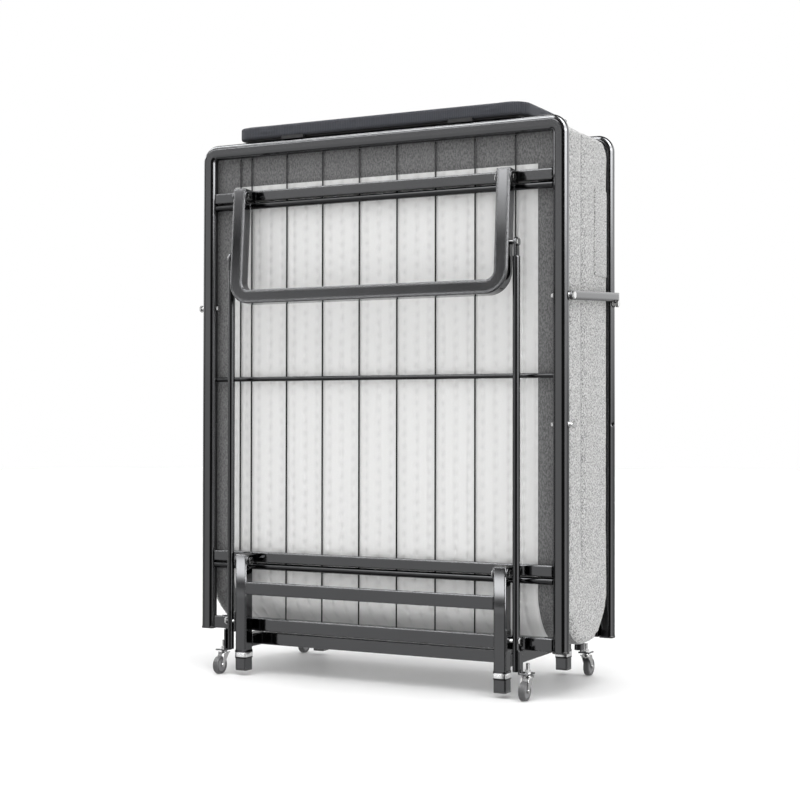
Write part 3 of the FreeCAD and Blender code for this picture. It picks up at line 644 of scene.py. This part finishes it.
class COT_OT_mattress(CotOperator, bpy.types.Operator):
    """Make the folded foam mattress, swell its cover and cut it at the middle for the decks"""
    bl_idname = "cot.mattress"
    bl_label = "Make the Mattress"

    def execute(self, context):
        settings = context.scene.cot_mattress
        whole = self.swollen_block(settings)
        self.quilt(whole.data, settings)
        half_gap = 0.15 * MM
        for deck, along in DECKS.items():
            half = bmesh.new()
            half.from_mesh(whole.data)
            bmesh.ops.bisect_plane(half, geom=half.verts[:] + half.edges[:] + half.faces[:],
                                   plane_co=(0, along * half_gap, 0), plane_no=(0, along, 0),
                                   clear_inner=True, dist=1e-6)
            rim = [edge for edge in half.edges if edge.is_boundary]
            bmesh.ops.triangle_fill(half, use_beauty=True, use_dissolve=False, edges=rim)
            bmesh.ops.recalc_face_normals(half, faces=half.faces)
            piece = add_piece(deck + "_mattress_pad", half, bpy.data.materials["mattress_cover"],
                              deck + "_deck")
            crisp(piece.data, degrees=50)
            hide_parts(deck + "_mattress", deck + "_mattress_fold")
        bpy.data.objects.remove(whole)
        return {"FINISHED"}

    def swollen_block(self, settings):
        """The mattress folded double: a block with a round lower end and soft shoulders."""
        inset = settings.inset
        half_width = MATTRESS_SIDE + 5 * MM
        half_depth = MATTRESS_DEPTH - inset
        shape = block((-half_width, -half_depth, FOLD_CENTRE),
                      (half_width, half_depth, MATTRESS_HIGH.z + settings.top_rise - inset))
        for along, radius in ((-1, settings.head_shoulder), (1, settings.shoulder)):
            edge = [e for e in shape.edges if runs_along(e, 0)
                    and e.verts[0].co.z > FOLD_CENTRE + inset
                    and e.verts[0].co.y * along > half_depth - inset]
            bevel(shape, edge, radius, 6)
        bottom = [f for f in shape.faces if f.normal.z < -0.9]
        bmesh.ops.delete(shape, geom=bottom, context="FACES")
        edge = [e for e in shape.edges if e.is_boundary and runs_along(e, 0)
                and e.verts[0].co.y < 0]
        bmesh.ops.spin(shape, geom=edge, cent=(0, 0, FOLD_CENTRE), axis=(1, 0, 0),
                       angle=math.pi, steps=16)
        bmesh.ops.remove_doubles(shape, verts=shape.verts, dist=0.1 * MM)
        bmesh.ops.holes_fill(shape, edges=[e for e in shape.edges if e.is_boundary])
        bmesh.ops.recalc_face_normals(shape, faces=shape.faces)
        whole = add_piece("mattress_blank", shape, bpy.data.materials["mattress_cover"], None)
        replace_mesh(whole, "REMESH", mode="VOXEL", voxel_size=settings.voxel)
        inflate(whole, pressure=4.0, cap=settings.swell)
        replace_mesh(whole, "SUBSURF", levels=1, render_levels=1)
        return whole

    def quilt(self, mesh, settings):
        """Pull in the stitches and seams of the panels and the crease down each side."""
        stitch_depth, seam_depth, crease_depth = 1.8 * MM, 2.0 * MM, 4 * MM
        seam_width, fade = 5 * MM, 8 * MM
        points = coordinates(mesh)
        x, y, z = points.T
        side = np.abs(x)
        below = np.minimum(z - FOLD_CENTRE, 0)
        depth = np.sqrt(y * y + below * below)
        outward = np.stack([np.zeros_like(x), y, below], axis=1)
        outward /= np.maximum(np.linalg.norm(outward, axis=1, keepdims=True), 1e-6)
        on_outer_face = depth > MATTRESS_DEPTH - 28 * MM
        panel_side = settings.panel_half_width
        panel_top = MATTRESS_HIGH.z - settings.panel_drop

        column = x / settings.stitch_pitch
        row = z / settings.stitch_step + 0.5 * (np.round(column) % 2)
        across = (column - np.round(column)) * settings.stitch_pitch
        along = (row - np.round(row)) * settings.stitch_step
        on_panel = (1 - ease(side, panel_side - fade, panel_side)) \
            * (1 - ease(z, panel_top - fade, panel_top))
        stitches = hump(across, 6 * MM) * hump(along, 8 * MM) * on_panel
        points -= outward * (stitch_depth * stitches * on_outer_face)[:, None]
        seams = np.maximum(hump(side - panel_side, seam_width) * (z < panel_top + 4 * MM),
                           hump(z - panel_top, seam_width) * (side < panel_side + 4 * MM))
        points -= outward * (seam_depth * seams * on_outer_face)[:, None]

        crease = hump(y + settings.crease_setback, 10 * MM) \
            * ease(z, CREASE_START, CREASE_START + 60 * MM) * (side > MATTRESS_SIDE - 25 * MM)
        points[:, 0] -= np.sign(x) * crease_depth * crease
        points[:, 0] = np.clip(points[:, 0], MATTRESS_LOW.x - SIDE_SPARE,
                               MATTRESS_HIGH.x + SIDE_SPARE)
        within = np.minimum(1, (MATTRESS_DEPTH - 0.4 * MM) / np.maximum(depth, 1e-9))
        points[:, 1] *= within
        points[:, 2] = np.where(below < 0, FOLD_CENTRE + below * within, points[:, 2])
        set_coordinates(mesh, points)


class COT_OT_side_flap(CotOperator, bpy.types.Operator):
    """Sew the fabric flap onto the side of the mattress"""
    bl_idname = "cot.side_flap"
    bl_label = "Make the Side Flap"

    def execute(self, context):
        front, back, bottom, top = 28 * MM, 92 * MM, 786 * MM, 953 * MM
        tucked_in = 4 * MM
        shape = rounded_block((MATTRESS_SIDE - tucked_in, front, bottom),
                              (MATTRESS_SIDE + SIDE_SPARE, back, top),
                              corner=2.5 * MM, rim=2 * MM)
        piece = add_piece("mattress_side_flap", shape, flap_cloth(context.scene.cot_mattress),
                          "foot_deck")
        return {"FINISHED"}


class COT_OT_head_panel(CotOperator, bpy.types.Operator):
    """Make the padded head panel: ribbed cloth drawn over a dark board"""
    bl_idname = "cot.head_panel"
    bl_label = "Make the Head Panel"

    def execute(self, context):
        settings = context.scene.cot_panel
        slack = 2 * MM
        flat, top = PANEL_LOW.z - 1 * MM, PANEL_HIGH.z + settings.crown
        shape = rounded_block((PANEL_LOW.x + slack, PANEL_LOW.y + slack, flat),
                              (PANEL_HIGH.x - slack, PANEL_HIGH.y - slack, top - slack),
                              corner=settings.corner - slack, rim=2 * MM, segments=6)
        pad = add_piece("head_panel_pad", shape, bpy.data.materials["charcoal_rib"], None)
        replace_mesh(pad, "REMESH", mode="VOXEL", voxel_size=3 * MM)
        inflate(pad, pressure=3.0, cap=2 * MM)
        points = coordinates(pad.data)
        points[:, 2] = np.clip(points[:, 2], flat, top)
        set_coordinates(pad.data, points)
        pad.data.shade_smooth()
        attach(pad, "head_deck")
        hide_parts("head_panel")
        margin = 12 * MM
        into_pad = 0.5 * MM
        shape = rounded_block(PANEL_LOW + Vector((margin, margin, -settings.board)),
                              (PANEL_HIGH.x - margin, PANEL_HIGH.y - margin, flat + into_pad),
                              corner=settings.corner - margin, rim=0.8 * MM, segments=6)
        board = add_piece("head_panel_board", shape, bpy.data.materials["dark_board"],
                          "head_deck")
        crisp(board.data)
        return {"FINISHED"}


class COT_OT_plugs(CotOperator, bpy.types.Operator):
    """Close the open tube ends and put the stepped sleeves on the centre feet"""
    bl_idname = "cot.plugs"
    bl_label = "Make the Plugs and Sleeves"

    def execute(self, context):
        plastic = bpy.data.materials["black_plastic"]
        for deck, along in DECKS.items():
            ends = [self.tube_plug(side, along) for side in (-1, 1)]
            self.finish(add_piece(deck + "_rail_plugs", join(ends), plastic, deck + "_deck"))
        tops = [self.leg_plug(side, along) for side in (-1, 1) for along in DECKS.values()]
        self.finish(add_piece("centre_leg_plugs", join(tops), plastic, "base"))
        sleeves = [self.sleeve(side, along) for side in (-1, 1) for along in DECKS.values()]
        sleeve = add_piece("centre_foot_sleeves", join(sleeves),
                           bpy.data.materials["sleeve_chrome"], "base")
        crisp(sleeve.data)
        return {"FINISHED"}

    def finish(self, piece):
        crisp(piece.data)

    def tube_plug(self, side, along):
        """The cap on the lower end of a deck rail."""
        face, depth, lip = 30 * MM, HOOP_HIGH.y - HOOP_LOW.y, 0.6 * MM
        centre = Vector((side * (HOOP_HIGH.x - face / 2), along * -(HOOP_LOW.y + depth / 2),
                         HOOP_LOW.z))
        below = Vector((face / 2 - lip, depth / 2 - lip, 1.5 * MM))
        inside = Vector((face / 2 - lip, depth / 2 - lip, 3 * MM))
        return rounded_block(centre - below, centre + inside, corner=5 * MM, rim=0.8 * MM)

    def leg_plug(self, side, along):
        """The cap on the upper end of a centre leg."""
        half = 11.6 * MM
        top = self.leg_middle(side, along) + Vector((0, 0, LEG_HIGH.z))
        inside = Vector((half, half, 4 * MM))
        above = Vector((half, half, 1.2 * MM))
        return rounded_block(top - inside, top + above, corner=2 * MM, rim=0.6 * MM)

    def sleeve(self, side, along):
        """Square steps round the foot of a leg, from the sole up."""
        centre = self.leg_middle(side, along)
        width = LEG_HIGH.y - LEG_LOW.y
        shape = bmesh.new()
        bmesh.ops.create_grid(shape, x_segments=1, y_segments=1, size=width / 2)
        bmesh.ops.translate(shape, vec=(centre.x, centre.y, SLEEVE_STEPS[0][0] * MM),
                            verts=shape.verts)
        top = shape.faces[:]
        for height, grow in SLEEVE_STEPS[1:]:
            made = bmesh.ops.extrude_face_region(shape, geom=top)["geom"]
            verts = [v for v in made if isinstance(v, bmesh.types.BMVert)]
            top = [f for f in made if isinstance(f, bmesh.types.BMFace)]
            half = width / 2 + grow * MM
            for vert in verts:
                vert.co = (centre.x + math.copysign(half, vert.co.x - centre.x),
                           centre.y + math.copysign(half, vert.co.y - centre.y), height * MM)
        bmesh.ops.delete(shape, geom=[f for f in shape.faces if abs(f.normal.z) > 0.99
                                      and f not in top], context="FACES_ONLY")
        bmesh.ops.delete(shape, geom=top, context="FACES_ONLY")
        upright = [e for e in shape.edges if not runs_along(e, 0) and not runs_along(e, 1)]
        bevel(shape, upright, 2.4 * MM, 3)
        bmesh.ops.solidify(shape, geom=shape.faces[:], thickness=0.3 * MM)
        bmesh.ops.recalc_face_normals(shape, faces=shape.faces)
        return shape

    def leg_middle(self, side, along):
        depth = LEG_HIGH.y - LEG_LOW.y
        return Vector((side * (LEG_LOW.x + depth / 2), along * -(LEG_LOW.y + depth / 2), 0))


class COT_OT_stage(CotOperator, bpy.types.Operator):
    """Set the white studio: floor, dome, overhead light and camera"""
    bl_idname = "cot.stage"
    bl_label = "Set the Stage"

    def execute(self, context):
        settings = context.scene.cot_stage
        self.floor()
        self.dome(settings)
        self.overhead(settings)
        self.camera(settings)
        context.scene.view_settings.view_transform = "Standard"
        return {"FINISHED"}

    def floor(self):
        shape = bmesh.new()
        bmesh.ops.create_circle(shape, cap_ends=True, segments=64, radius=14)
        material, s = new_material("studio_floor")
        spread = s.noise(s.place(), scale=0.6, detail=1)
        s.surface(Base_Color=s.blend(spread, (0.9, 0.9, 0.9), (0.92, 0.92, 0.92)),
                  Roughness=0.6, Specular_IOR_Level=0.2)
        plane = add_piece("studio_floor", shape, material, None, smooth=False)
        plane.visible_glossy = False

    def dome(self, settings):
        """White to the eye and for soft light; banded with flags and strips for reflections."""
        world = bpy.data.worlds.new("studio_dome")
        bpy.context.scene.world = world
        s = Shader(world)
        x, y, z = s.split(s.add("ShaderNodeTexCoord").outputs["Generated"])
        heading = s.maths("ARCTAN2", x, s.maths("MULTIPLY", y, -1.0))
        turn = s.maths("MULTIPLY_ADD", heading, 1 / math.tau, 0.5)

        def at(degrees):
            return degrees / 360 + 0.5

        # around the horizon: 0 is the front, and positive headings are to the right
        bands = s.ramp(turn, (at(-180), 1), (at(-115), 1), (at(-68), 1), (at(-64), 0.05),
                       (at(-48), 0.05), (at(-44), 1), (at(-18), 1), (at(-12), 0.05),
                       (at(45), 0.05), (at(50), 1), (at(180), 1))
        right = s.ramp(turn, (at(46), 0), (at(50), 1), (at(96), 1), (at(102), 0))
        left = s.ramp(turn, (at(-120), 0), (at(-100), 0.4), (at(-72), 0.4), (at(-66), 0))
        # against height, as a share of the brightest band
        front = s.ramp(z, (0, 0.088), (0.05, 0.108), (0.2, 0.107), (0.215, 0.007),
                       (0.26, 0.007), (0.28, 0.72), (0.36, 0.72), (0.39, 0.007), (0.56, 0.007),
                       (0.62, 1), (0.95, 1), (0.985, 0.02))
        behind = s.ramp(z, (0, 0.06), (0.1, 0.2), (0.5, 0.2), (0.6, 0.015), (0.98, 0.015))
        height = s.blend(s.maths("GREATER_THAN", y, 0.0), front, behind)
        level = s.maths("MULTIPLY", s.maths("MULTIPLY", bands, height), settings.brightest)
        above = s.ramp(z, (0, 0.04), (0.1, 0.1), (0.17, 0.8))
        uprights = s.maths("MULTIPLY", s.maths("ADD", right, left), above)
        level = s.maths("ADD", level, s.maths("MULTIPLY", uprights, settings.brightest))
        path = s.add("ShaderNodeLightPath")
        glossy = path.outputs["Is Glossy Ray"]
        strength = s.maths("ADD", s.maths("MULTIPLY", level, glossy),
                           s.maths("MULTIPLY", settings.dome, s.maths("SUBTRACT", 1.0, glossy)))
        light = s.add("ShaderNodeBackground")
        light.inputs["Color"].default_value = (1, 1, 1, 1)
        s.put(light.inputs["Strength"], strength)
        out = s.add("ShaderNodeOutputWorld")
        s.put(out.inputs["Surface"], light.outputs[0])

    def overhead(self, settings):
        light = bpy.data.lights.new("overhead", "AREA")
        light.energy = settings.key
        light.shape = "RECTANGLE"
        light.size, light.size_y = 3.0, 2.4
        lamp = bpy.data.objects.new("overhead", light)
        lamp.location = (0.3, -0.6, 3.2)
        lamp.visible_glossy = False
        bpy.context.scene.collection.objects.link(lamp)
        aim = (Vector((0, 0, 0.3)) - lamp.location).to_track_quat("-Z", "Y")
        lamp.rotation_euler = aim.to_euler()

    def camera(self, settings):
        pitch, roll, heading = (math.radians(angle) for angle in settings.camera_turn)
        data = bpy.data.cameras.new("camera")
        data.lens = settings.lens
        data.sensor_width = 36
        data.clip_end = 100
        camera = bpy.data.objects.new("camera", data)
        camera.matrix_world = (Matrix.Translation(settings.camera_place)
                               @ Matrix.Rotation(heading, 4, "Z")
                               @ Matrix.Rotation(math.pi / 2 + pitch, 4, "X")
                               @ Matrix.Rotation(roll, 4, "Z"))
        bpy.context.scene.collection.objects.link(camera)
        bpy.context.scene.camera = camera


class COT_PT_sidebar(bpy.types.Panel):
    """Lists the steps that dress the cot"""
    bl_idname = "COT_PT_sidebar"
    bl_label = "Folding Cot"
    bl_space_type = "VIEW_3D"
    bl_region_type = "UI"
    bl_category = "Folding Cot"

    def draw(self, context):
        for operator in OPERATORS:
            self.layout.operator(operator.bl_idname)
        for name in SETTINGS:
            group = getattr(context.scene, name)
            column = self.layout.column(align=True)
            for key in group.bl_rna.properties.keys():
                if key not in ("rna_type", "name"):
                    column.prop(group, key)


SETTINGS = {"cot_metal": CotMetalSettings, "cot_mattress": CotMattressSettings,
            "cot_panel": CotPanelSettings, "cot_stage": CotStageSettings}
OPERATORS = (COT_OT_metalwork, COT_OT_mattress, COT_OT_side_flap, COT_OT_head_panel,
             COT_OT_plugs, COT_OT_stage)


def register():
    for kind in (*SETTINGS.values(), *OPERATORS, COT_PT_sidebar):
        bpy.utils.register_class(kind)
    for name, kind in SETTINGS.items():
        setattr(bpy.types.Scene, name, bpy.props.PointerProperty(type=kind))


def unregister():
    for name in SETTINGS:
        delattr(bpy.types.Scene, name)
    for kind in (COT_PT_sidebar, *reversed(OPERATORS), *SETTINGS.values()):
        bpy.utils.unregister_class(kind)


def main():
    register()
    for operator in OPERATORS:
        group, name = operator.bl_idname.split(".")
        getattr(getattr(bpy.ops, group), name)()


if __name__ == "__main__":
    main()
